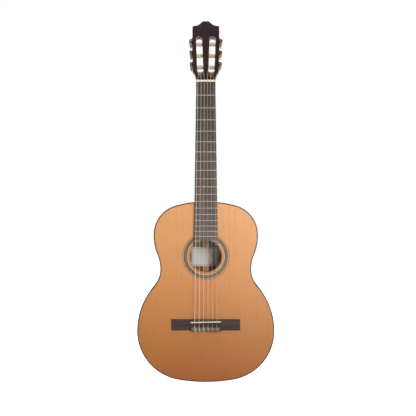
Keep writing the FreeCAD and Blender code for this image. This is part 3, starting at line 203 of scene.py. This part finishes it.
def grained(name, dark, middle, light, along, roughness=0.4, pores=0.6, coat=0.0, edge=0.4, mottle=0.3,
            shine=0.4, inside=None, painted_light_ends=None):
    """Hardwood: streaks and short open pores along one axis (x, y or z), with cloudy figure.

    inside is the colour of unfinished faces that look forwards, set darker than the wood where it also paints
    shade inside the body; the last argument is how bright the low and high ends are, as painted light and
    shade.
    """
    made = Finish(name)
    reach = {"x": (1, 0, 0), "y": (0, 1, 0), "z": (0, 0, 1)}[along]
    def stretch(across, length):
        return tuple(length if on else across for on in reach)
    wave = made.noise(stretch(9, 3), detail=3, distort=0.4)
    drift = made.node("VectorMath", settings={"operation": "SCALE"}, i0=made.joined(wave, wave, wave),
                      Scale=GRAIN_DRIFT)
    shifted = made.node("VectorMath", settings={"operation": "ADD"}, i0=made.place, i1=drift)
    streaks = made.noise(stretch(120, 3), shifted, detail=5, rough=0.65)
    fine = made.noise(stretch(700, 14), shifted, detail=3, rough=0.6)
    pore = made.noise(stretch(1900, 90), shifted, detail=1, rough=0.4)
    cloud = made.noise(stretch(26, 7), shifted, detail=3)
    shade = made.ramp(streaks, (0.3, dark), (0.5, middle), (0.7, light))
    shade = made.mix(made.between(fine, 0.35, 0.7, 0.0, 0.45), shade, dark)
    shade = made.mix(made.between(cloud, 0.35, 0.7, 0.0, mottle), shade, light)
    open_pore = made.between(pore, 0.62, 0.72, 0.0, pores)
    shade = made.mix(open_pore, shade, tuple(part * PORE_DARKNESS for part in dark[:3]) + (1,))
    if inside:
        facing = made.axes(made.node("NewGeometry", "Normal"))[1]
        # forward faces show unfinished wood; on the back this colour is set darker as painted shade inside
        # the body
        forward_face_colour = made.mix(made.between(streaks, 0.35, 0.65, 0.0, 0.6), inside, middle)
        shade = made.mix(made.between(facing, -0.6, -0.5, 1.0, 0.0), shade, forward_face_colour)
    if painted_light_ends:
        # painted light and shade: brightness multiplied from the low end to the high end
        painted_light_level = made.between(made.axes()[2], BOARD_LOW, BOARD_HIGH, *painted_light_ends)
        shade = made.mix(1.0, shade, made.joined(painted_light_level, painted_light_level, painted_light_level), "MULTIPLY")
    made.set("Base Color", shade)
    made.set("Roughness", made.maths("ADD", made.between(fine, 0.3, 0.7, roughness - 0.06, roughness + 0.08),
                                   made.maths("MULTIPLY", open_pore, 0.2)))
    made.set("Specular IOR Level", shine)
    if coat:
        made.coat(coat, 0.26)
    made.bump(made.maths("SUBTRACT", made.maths("MULTIPLY", fine, 0.5), open_pore), 0.06, edge)
    return made.material


def metal(name, shade, worn, roughness=0.28, along=(40, 700, 40)):
    """Plated or polished metal with brushing, fine scratches and cloudy tarnish."""
    made = Finish(name, metallic=1.0)
    brushing = made.noise(along, detail=4, rough=0.7)
    tarnish = made.noise((180, 180, 180), detail=5, rough=0.65)
    scratch = made.noise((2600, 300, 900), detail=1)
    made.set("Base Color", made.mix(made.between(tarnish, 0.42, 0.72, 0.0, 0.75), shade, worn))
    dull = made.between(tarnish, 0.35, 0.75, roughness - 0.06, roughness + 0.16)
    made.set("Roughness", made.maths("ADD", dull, made.between(scratch, 0.62, 0.75, 0.0, 0.12)))
    made.bump(made.maths("ADD", brushing, made.maths("MULTIPLY", scratch, 0.4)), 0.02, 0.25)
    return made.material


def bone(name):
    """Polished bone: cream, with faint long fibres and specks."""
    made = Finish(name)
    fibres = made.noise((60, 900, 900), detail=4, rough=0.6)
    specks = made.noise((1500, 1500, 1500), detail=2)
    shade = made.ramp(fibres, (0.3, colour(226, 212, 182)), (0.6, colour(238, 228, 206)))
    shade = made.mix(made.between(specks, 0.66, 0.78, 0.0, 0.35), shade, colour(206, 182, 140))
    made.set("Base Color", shade)
    made.set("Roughness", made.between(fibres, 0.3, 0.7, 0.22, 0.34))
    made.set("Subsurface Weight", 0.15)
    made.set("Subsurface Radius", (0.002, 0.0014, 0.0008))
    made.coat(0.25, 0.12)
    made.bump(fibres, 0.015, 0.3)
    return made.material


def plastic(name, low, high, roughness, swirl, depth=0.3):
    """Moulded plastic: swirl is how many clouds there are to the metre, depth how strong its layers are."""
    made = Finish(name)
    clouds = made.noise((swirl, swirl, swirl), detail=5, rough=0.6, distort=2.5)
    layers = made.node("TexWave", settings={"wave_type": "BANDS", "bands_direction": "DIAGONAL"},
                       Vector=made.scaled((swirl * 0.6,) * 3), Scale=1.0, Distortion=9.0, Detail=3.0)
    specks = made.noise((2400, 2400, 2400), detail=1)
    shade = made.mix(made.between(clouds, 0.32, 0.68, 0.0, 1.0), low, high)
    bright = tuple(min(1.0, part * 1.06) for part in high)
    shade = made.mix(made.maths("MULTIPLY", layers, depth), shade, bright)
    made.set("Base Color", shade)
    made.set("Roughness", made.between(specks, 0.3, 0.7, roughness - 0.04, roughness + 0.06))
    made.set("Subsurface Weight", 0.1)
    made.set("Subsurface Radius", (0.0015, 0.0013, 0.001))
    made.coat(0.6, 0.08)
    made.bump(made.maths("ADD", clouds, made.maths("MULTIPLY", specks, 0.2)), 0.015)
    return made.material


def paper():
    """Plain label paper: fibres, a little yellowing, and two plain printed border lines."""
    made = Finish("label_paper", 0.85)
    x, _, z = made.axes()
    low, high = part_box("label")
    middle_z, half_x, half_z = (low.z + high.z) / 2, (high.x - low.x) / 2, (high.z - low.z) / 2
    inset_x = made.maths("SUBTRACT", half_x, made.maths("ABSOLUTE", x))
    inset_z = made.maths("SUBTRACT", half_z, made.maths("ABSOLUTE", made.maths("SUBTRACT", z, middle_z)))
    inset = made.maths("MINIMUM", inset_x, inset_z)
    def border(distance, half_width):
        away = made.maths("ABSOLUTE", made.maths("SUBTRACT", inset, distance * MM))
        return made.maths("LESS_THAN", away, half_width * MM)
    outer, inner = border(3.0, 0.4), border(4.6, 0.2)
    fibres = made.noise((900, 900, 300), detail=6, rough=0.75)
    age = made.noise((30, 30, 30), detail=4)
    shade = made.ramp(fibres, (0.3, colour(240, 236, 230)), (0.7, colour(252, 249, 244)))
    shade = made.mix(made.between(age, 0.4, 0.75, 0.0, 0.25), shade, colour(236, 224, 200))
    printed = made.maths("MULTIPLY", made.maths("MAXIMUM", outer, inner), 0.6)
    shade = made.mix(printed, shade, colour(110, 96, 84))
    made.set("Base Color", shade)
    made.bump(fibres, 0.03)
    return made.material


def nylon():
    """Clear drawn nylon with faint die lines."""
    made = Finish("nylon_line")
    lines = made.noise((2500, 2500, 12), detail=2)
    made.set("Base Color", made.ramp(lines, (0.3, colour(226, 208, 182)), (0.7, colour(248, 236, 216))))
    made.set("Roughness", made.between(lines, 0.3, 0.7, 0.1, 0.2))
    made.set("Transmission Weight", 0.5)
    made.set("IOR", 1.53)
    made.bump(lines, 0.01)
    return made.material


def winding():
    """Fine round wire wound on a bass string: one ridge per turn of wire, with painted shade in the grooves
    between turns.
    """
    made = Finish("string_winding", metallic=0.45)
    bands = {"wave_type": "BANDS", "bands_direction": "Z", "wave_profile": "SIN"}
    ridges = made.node("TexWave", settings=bands, Vector=made.scaled((12, 12, 520)), Scale=1.0,
                       Distortion=0.6, Detail=1.0)
    wear = made.noise((120, 120, 18), detail=4)
    # painted shade: the colour follows the ridges, darker in the grooves between turns and lighter on their
    # tops
    shade = made.ramp(ridges, (0.0, colour(214, 196, 168)), (0.6, colour(255, 250, 236)))
    shade = made.mix(made.between(wear, 0.45, 0.75, 0.0, 0.5), shade, colour(196, 164, 128))
    made.set("Base Color", shade)
    made.set("Roughness", made.between(wear, 0.3, 0.7, 0.3, 0.42))
    made.bump(ridges, 0.12)
    return made.material


def tiles_finish():
    """Inlaid veneer pieces: each tile's colour comes from the mesh, the grain from noise."""
    made = Finish("inlay_tiles")
    tile = made.node("VertexColor", settings={"layer_name": "tile"})
    fibre = made.noise((1800, 400, 1800), detail=3, rough=0.6)
    stain = made.noise((240, 60, 240), detail=3)
    shade = made.mix(made.between(fibre, 0.3, 0.7, 0.0, 0.2), tile, colour(96, 72, 54))
    shade = made.mix(made.between(stain, 0.4, 0.7, 0.0, 0.12), shade, colour(180, 140, 104))
    made.set("Base Color", shade)
    made.set("Roughness", made.between(fibre, 0.3, 0.7, 0.32, 0.44))
    made.coat(0.3, 0.2)
    made.bump(fibre, 0.02)
    return made.material


ROSEWOOD = (colour(38, 25, 22), colour(66, 46, 41), colour(96, 66, 54))
MAHOGANY = (colour(84, 38, 20), colour(128, 64, 36), colour(160, 88, 52))
NECK_MAHOGANY = (colour(92, 50, 28), colour(126, 74, 46), colour(156, 98, 64))
finishes = {
    "top": cedar("cedar_top"),
    "spruce": cedar("cedar_inside", with_tail_shade=False),
    "mahogany": grained("mahogany_body", *MAHOGANY, "z", roughness=0.3, coat=0.5, pores=0.45),
    # the back's unfinished inside colour is set darker than the wood's as painted shade inside the body
    "mahogany_back": grained("mahogany_back", *MAHOGANY, "z", roughness=0.3, coat=0.5, pores=0.45,
                             inside=colour(160, 112, 72)),
    "mahogany_neck": grained("mahogany_neck", *NECK_MAHOGANY, "z", roughness=0.36, coat=0.3, pores=0.5),
    "mahogany_head": grained("mahogany_headstock", *NECK_MAHOGANY, "z", roughness=0.3, coat=0.7, pores=0.5,
                             inside=colour(84, 50, 30)),
    "lining": grained("lining_wood", colour(150, 104, 66), colour(184, 136, 92), colour(206, 162, 116),
                      "z", roughness=0.6, pores=0.2),
    "binding": grained("rosewood_binding", *ROSEWOOD, "z", roughness=0.3, coat=0.4, pores=0.4),
    "bridge": grained("rosewood_bridge", colour(40, 27, 22), colour(64, 46, 38), colour(88, 64, 54), "x",
                      roughness=0.5, pores=0.5, shine=0.3),
    # the fingerboard gets painted light and shade: brighter towards the body, darker towards the nut
    "board": grained("ebony_fingerboard", colour(42, 34, 33), colour(66, 56, 54), colour(94, 76, 68), "z",
                     roughness=0.5, pores=0.45, mottle=0.4, shine=0.3, painted_light_ends=(2.15, 0.5)),
    "veneer": grained("rosewood_veneer", colour(18, 10, 9), colour(34, 20, 18), colour(62, 30, 22), "z",
                      roughness=0.4, coat=0.1, pores=0.4, shine=0.2),
    "bone": bone("bone_polished"),
    "paper": paper(),
    "steel": metal("plated_steel", colour(196, 192, 188), colour(150, 142, 134), 0.26),
    "frets": metal("nickel_silver_frets", colour(194, 188, 180), colour(152, 142, 130), 0.32, (40, 700, 900)),
    "bronze": metal("dark_bronze_plate", colour(88, 66, 60), colour(52, 38, 34), 0.34),
    "brass": metal("brass_gear", colour(200, 172, 132), colour(140, 112, 84), 0.28),
    "pearl": plastic("pearl_button", colour(222, 218, 206), colour(252, 250, 244), 0.2, 160),
    "cream": plastic("cream_roller_sleeve", colour(186, 170, 142), colour(214, 200, 174), 0.3, 90, 0.15),
    "nylon": nylon(),
    "wound": winding(),
    "tiles": tiles_finish(),
}

NODE_FINISHES = {
    "soundboard": "top", "soundhole_patch": "spruce", "fan_braces": "spruce", "harmonic_bars": "spruce",
    "back_braces": "spruce", "back_centre_strip": "spruce", "linings": "lining",
    "tail_block": "mahogany_neck", "back": "mahogany_back", "side_bass": "mahogany",
    "side_treble": "mahogany", "neck_shaft": "mahogany_neck", "heel": "mahogany_neck",
    "headstock": "mahogany_head", "heel_cap": "binding", "tail_graft": "binding", "bindings": "binding",
    "top_purfling": "binding", "bridge": "bridge", "fingerboard": "board", "headstock_veneer": "veneer",
    "nut": "bone", "saddle": "bone", "label": "paper", "frets": "frets", "tuner_plate_screws": "steel",
    "tuner_plate_bass": "bronze", "tuner_plate_treble": "bronze", "rosette": "tiles",
    "tie_block_inlay": "tiles",
}
for number in STRING_DIAMETERS:
    NODE_FINISHES.update({f"tuner_button_{number}": "pearl", f"worm_shaft_{number}": "steel",
                          f"string_roller_{number}": "cream", f"tuner_gear_{number}": "brass",
                          f"string_{number}": "nylon" if number in NYLON_STRINGS else "wound"})

for node_name, finish in NODE_FINISHES.items():
    nodes[node_name].data.materials.clear()
    nodes[node_name].data.materials.append(finishes[finish])


# ---------------------------------------------------------------- small pieces of mesh, in millimetres

WELD = 1e-7                           # metres
INLAY_PROUD, INLAY_DEPTH = 0.03, 1.1  # the rosette's rings, in front of the top's face and behind it
STRIP_PROUD = 0.02                    # the tie block's mosaic strip
TIP_REACH = 0.6                       # how far a cord's end bulges, in radii
KNOT_GAP, KNOT_SLIMNESS = 0.12, 0.96  # between a tied end and the tie block; its radius to the string's


def piece(name, vertices, faces, finish, body, slot, shades=None, smooth=False):
    """A closed mesh in CAD millimetres, riding on a body; shades colour its faces."""
    mesh = bpy.data.meshes.new(name)
    mesh.from_pydata([Vector(vertex) * MM for vertex in vertices], [], faces)
    if shades:
        layer = mesh.color_attributes.new("tile", "FLOAT_COLOR", "CORNER")
        for face, shade in zip(mesh.polygons, shades):
            for corner in face.loop_indices:
                layer.data[corner].color = shade
    mesh.materials.append(finishes[finish])
    welded = bmesh.new()
    welded.from_mesh(mesh)
    bmesh.ops.remove_doubles(welded, verts=welded.verts, dist=WELD)
    bmesh.ops.recalc_face_normals(welded, faces=welded.faces)
    for face in welded.faces:
        face.smooth = smooth
    welded.to_mesh(mesh)
    welded.free()
    made = bpy.data.objects.new(name, mesh)
    bpy.context.scene.collection.objects.link(made)
    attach(made, body)
    return made


def slab(columns, rows, point, shade):
    """Vertices, faces and face shades of a closed slab: point(column, row, depth) with depth 0 in
    front and 1 behind, and shade(column, row) for each front face."""
    vertices = [point(column, row, depth) for depth in (0, 1)
                for row in range(rows + 1) for column in range(columns + 1)]
    width, layer = columns + 1, (columns + 1) * (rows + 1)
    faces, shades = [], []
    for row in range(rows):
        for column in range(columns):
            a = row * width + column
            quad = (a, a + 1, a + 1 + width, a + width)
            faces += [quad, tuple(corner + layer for corner in reversed(quad))]
            shades += [shade(column, row)] * 2
    edges = [((c, r), (c + 1, r)) for r in (0, rows) for c in range(columns)]
    edges += [((c, r), (c, r + 1)) for c in (0, columns) for r in range(rows)]
    for (c0, r0), (c1, r1) in edges:
        a, b = r0 * width + c0, r1 * width + c1
        faces.append((a, b, b + layer, a + layer))
        shades.append(shade(min(c0, columns - 1), min(r0, rows - 1)))
    return vertices, faces, shades


BLACK, WALNUT, TAN = colour(36, 27, 24), colour(110, 74, 48), colour(214, 150, 88)
CREAM, GREY, SILVER = colour(240, 194, 142), colour(98, 86, 72), colour(140, 128, 108)
MOTIF = ("kgkgkgkgkgkg",
         "gwkkwgwkkwgw",
         "kwccwkwccwkw",
         "gkcggckcggck",
         "gkcggckcggck",
         "kwccwkwccwkw",
         "gwkkwgwkkwgw",
         "kgkgkgkgkgkg")
SHADES = {"k": BLACK, "w": WALNUT, "c": SILVER, "g": GREY}


def motif(column, row):
    """Shade of one tile of the mosaic, whose motif repeats both ways."""
    return SHADES[MOTIF[row % len(MOTIF)][column % len(MOTIF[0])]]


def ring_point(radius, angle, y):
    """Point at a radius and an angle round the soundhole, at a depth behind the top's face."""
    return HOLE_CENTRE + Vector((radius * math.sin(angle), y, radius * math.cos(angle)))


def ring(name, inner, outer, columns, rows, shade):
    """A flat ring let into the top around the soundhole, standing a hair proud of it."""
    def point(column, row, depth):
        radius = inner + (outer - inner) * row / rows
        return ring_point(radius, TURN * (column % columns) / columns, (-INLAY_PROUD, INLAY_DEPTH)[depth])
    vertices, faces, shades = slab(columns, rows, point, shade)
    made_faces, made_shades = [], []
    for face, tile in zip(faces, shades):
        if not seam(face, columns, rows):
            made_faces.append(face)
            made_shades.append(tile)
    return piece(name, vertices, made_faces, "tiles", "instrument", "mosaic", made_shades)


def seam(face, columns, rows):
    """True for the end walls of a slab that is closed into a ring."""
    width, layer = columns + 1, (columns + 1) * (rows + 1)
    across = {(corner % layer) % width for corner in face}
    return across in ({0}, {columns})


# Lines of the rosette from the soundhole outwards: name, inner and outer radius, and shade. The mosaic's
# own ring fills the gap between its two lines.
ROSETTE_RINGS = (
    ("inner_edge", 44.8, 45.4, BLACK), ("inner_light", 45.4, 46.1, TAN), ("inner_line", 46.1, 46.6, BLACK),
    ("field", 46.6, 47.8, TAN), ("field_line", 47.8, 48.3, BLACK), ("field_light", 48.3, 49.1, CREAM),
    ("field_edge", 49.1, 49.6, BLACK), ("middle_field", 49.6, 50.8, TAN), ("middle_light", 50.8, 51.6, CREAM),
    ("mosaic_inner_line", 51.6, 52.2, BLACK), ("mosaic_outer_line", 59.8, 60.6, BLACK),
    ("outer_light", 60.6, 61.6, CREAM), ("outer_line", 61.6, 62.1, WALNUT), ("outer_field", 62.1, 63.4, TAN),
    ("outer_edge", 63.4, 64.5, BLACK), ("outer_rim", 64.5, 65.2, TAN),
)
MOSAIC_RADII, MOSAIC_REPEATS, LINE_SIDES = (52.2, 59.8), 31, 240
mosaic_ring = ring("rosette_mosaic", *MOSAIC_RADII, MOSAIC_REPEATS * len(MOTIF[0]), len(MOTIF), motif)
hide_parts("rosette")
for ring_name, ring_inner, ring_outer, ring_shade in ROSETTE_RINGS:
    ring("rosette_" + ring_name, ring_inner, ring_outer, LINE_SIDES, 1,
         lambda column, row, shade=ring_shade: shade)


def tie_block_strip():
    """Mosaic strip on the tie block, framed by a black and a grey line."""
    low, high = (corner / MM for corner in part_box("tie_block_inlay"))
    rows = len(MOTIF) + 4        # two more on either side for the frame
    columns = round((high.x - low.x) / (high.z - low.z) * rows)
    def point(column, row, depth):
        return (low.x + (high.x - low.x) * column / columns, (low.y - STRIP_PROUD, high.y)[depth],
                low.z + (high.z - low.z) * row / rows)
    def shade(column, row):
        edge = min(row, rows - 1 - row, column, columns - 1 - column)
        return BLACK if edge == 0 else GREY if edge == 1 else motif(column, row - 2)
    vertices, faces, shades = slab(columns, rows, point, shade)
    strip = piece("tie_block_mosaic", vertices, faces, "tiles", "instrument", "mosaic", shades)
    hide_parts("tie_block_inlay")


tie_block_strip()


def tube(name, points, radius, finish, body, slot, sides=12):
    """A round cord through the points (CAD millimetres), smoothed, with closed round ends."""
    path = smooth_path([Vector(point) for point in points])
    vertices, faces = [], []
    side = (path[1] - path[0]).normalized().orthogonal().normalized()
    for index, centre in enumerate(path):
        ahead = (path[min(index + 1, len(path) - 1)] - path[max(index - 1, 0)]).normalized()
        side = (side - ahead * side.dot(ahead)).normalized()
        other = ahead.cross(side)
        for step in range(sides):
            angle = TURN * step / sides
            vertices.append(centre + (side * math.cos(angle) + other * math.sin(angle)) * radius)
    for index in range(len(path) - 1):
        for step in range(sides):
            a, b = index * sides + step, index * sides + (step + 1) % sides
            faces.append((a, b, b + sides, a + sides))
    for index, way in ((0, -1), (len(path) - 1, 1)):
        ahead = (path[1] - path[0]) if index == 0 else (path[-1] - path[-2])
        tip = len(vertices)
        vertices.append(path[index] + ahead.normalized() * way * radius * TIP_REACH)
        for step in range(sides):
            faces.append((index * sides + step, index * sides + (step + 1) % sides, tip))
    return piece(name, vertices, faces, finish, body, slot, smooth=True)


def smooth_path(points, steps=6):
    """Points along a Catmull-Rom curve, which passes through all the given ones."""
    ends = [points[0] * 2 - points[1]] + points + [points[-1] * 2 - points[-2]]
    path = []
    for before, start, end, after in zip(ends, ends[1:], ends[2:], ends[3:]):
        for step in range(steps):
            t = step / steps
            square = (before * 2 - start * 5 + end * 4 - after) * t * t
            cube = (start * 3 - before - end * 3 + after) * t ** 3
            path.append(0.5 * (start * 2 + (end - before) * t + square + cube))
    return path + [points[-1]]


def tie_knot(string):
    """The string's own end: once round its run above the tie block, then down over the block beside it."""
    radius = STRING_DIAMETERS[string] / 2
    finish, slot = ("nylon", "nylon") if string in NYLON_STRINGS else ("wound", "wound_string")
    x = FIRST_STRING_X - STRING_SPACING * (string - 1)
    front = (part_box("bridge")[0] / MM).y - radius - KNOT_GAP
    lap = 2 * radius + 0.05        # from the run's centre to that of the end lying beside it
    points = [(x, front, 151.4), (x + 0.4 * lap, front - 0.2, 152.9), (x + lap, front + 2.0, 153.4),
              (x + 0.9 * lap, -6.6, 153.2), (x + 0.3 * lap, -6.2, 153.6), (x - lap, -6.8, 153.3),
              (x - lap, front + 1.0, 153.0), (x - 0.5 * lap, front - lap, 151.2),
              (x + lap, front - lap, 149.0), (x + 1.2 * lap, front, 146.0), (x + 1.4 * lap, front, 142.6),
              (x + 1.8 * lap, front, 140.6), (x + 2.8 * lap, front, 139.5), (x + 4.6, front, 139.1)]
    return tube(f"string_knot_{string}", points, radius * KNOT_SLIMNESS, finish, "instrument", slot)


for string in STRING_DIAMETERS:
    tie_knot(string)


# ---------------------------------------------------------------- room, light and camera, in metres

FLOOR_HEIGHT, FLOOR_REACH = -0.012, 6
AMBIENT, BACKDROP = 0.24, 1.0        # light of the room, and of the white wall behind the guitar
LAMPS = (                            # name, place, point aimed at, width, height and watts
    ("key", (0.75, -2.15, 0.8), (0, 0, 0.45), 0.4, 1.2, 32.5),
    ("fill", (-1.6, -1.7, 0.9), (0, 0, 0.5), 1.4, 1.6, 1.5),
    ("top", (0.2, -0.6, 2.4), (0, 0, 0.6), 1.2, 0.8, 8),
    ("back_left", (-1.3, 1.5, 1.2), (0, 0.05, 0.5), 1.0, 1.4, 7),
    ("back_right", (1.3, 1.5, 1.2), (0, 0.05, 0.5), 1.0, 1.4, 7),
)
CAMERA_PLACE, CAMERA_LENS = (0.006, -2.0, 0.4741), 63.5        # straight from the front, as in the photo


def lamp(name, place, aim, width, height, power):
    """White rectangular lamp that faces a point."""
    light = bpy.data.lights.new(name, "AREA")
    light.shape, light.size, light.size_y, light.energy = "RECTANGLE", width, height, power
    made = bpy.data.objects.new(name, light)
    made.location = place
    made.rotation_euler = (Vector(aim) - Vector(place)).to_track_quat("-Z", "Y").to_euler()
    bpy.context.scene.collection.objects.link(made)


def floor():
    """A wide pale floor a little under the tail, plain white to the camera."""
    made = Finish("pale_floor", 0.9)
    speckle = made.noise((40, 40, 40), detail=3)
    made.set("Base Color", made.ramp(speckle, (0.4, 0.97), (0.6, 1.0)))
    made.set("Emission Color", (1, 1, 1, 1))
    made.set("Emission Strength", made.node("LightPath", "Is Camera Ray"))
    mesh = bpy.data.meshes.new("floor")
    grid = bmesh.new()
    bmesh.ops.create_grid(grid, x_segments=8, y_segments=8, size=FLOOR_REACH)
    grid.to_mesh(mesh)
    grid.free()
    mesh.materials.append(made.material)
    made = bpy.data.objects.new("floor", mesh)
    made.location = (0, 0, FLOOR_HEIGHT)
    bpy.context.scene.collection.objects.link(made)


floor()
for settings in LAMPS:
    lamp(*settings)


def studio_world():
    """White to the camera and behind the guitar, and a dimmer even light from everywhere else."""
    world = bpy.data.worlds.new("studio")
    world.use_nodes = True
    tree = world.node_tree
    background = tree.nodes["Background"]
    background.inputs["Color"].default_value = (1, 1, 1, 1)
    place = tree.nodes.new("ShaderNodeTexCoord")
    ray = tree.nodes.new("ShaderNodeLightPath")
    direction = tree.nodes.new("ShaderNodeSeparateXYZ")
    backdrop = tree.nodes.new("ShaderNodeMapRange")
    strength = tree.nodes.new("ShaderNodeMath")
    for key, value in (("From Min", 0.55), ("From Max", 0.9), ("To Min", AMBIENT), ("To Max", BACKDROP)):
        backdrop.inputs[key].default_value = value
    strength.operation = "MAXIMUM"
    tree.links.new(place.outputs["Generated"], direction.inputs[0])
    tree.links.new(direction.outputs["Y"], backdrop.inputs["Value"])
    tree.links.new(backdrop.outputs["Result"], strength.inputs[0])
    tree.links.new(ray.outputs["Is Camera Ray"], strength.inputs[1])
    tree.links.new(strength.outputs[0], background.inputs["Strength"])
    bpy.context.scene.world = world
    bpy.context.scene.view_settings.view_transform = "Standard"


studio_world()

camera = bpy.data.cameras.new("camera")
camera.lens = CAMERA_LENS
camera.sensor_width = 36
camera_object = bpy.data.objects.new("camera", camera)
camera_object.location = CAMERA_PLACE
camera_object.rotation_euler = (math.radians(90), 0, 0)
bpy.context.scene.collection.objects.link(camera_object)
bpy.context.scene.camera = camera_object
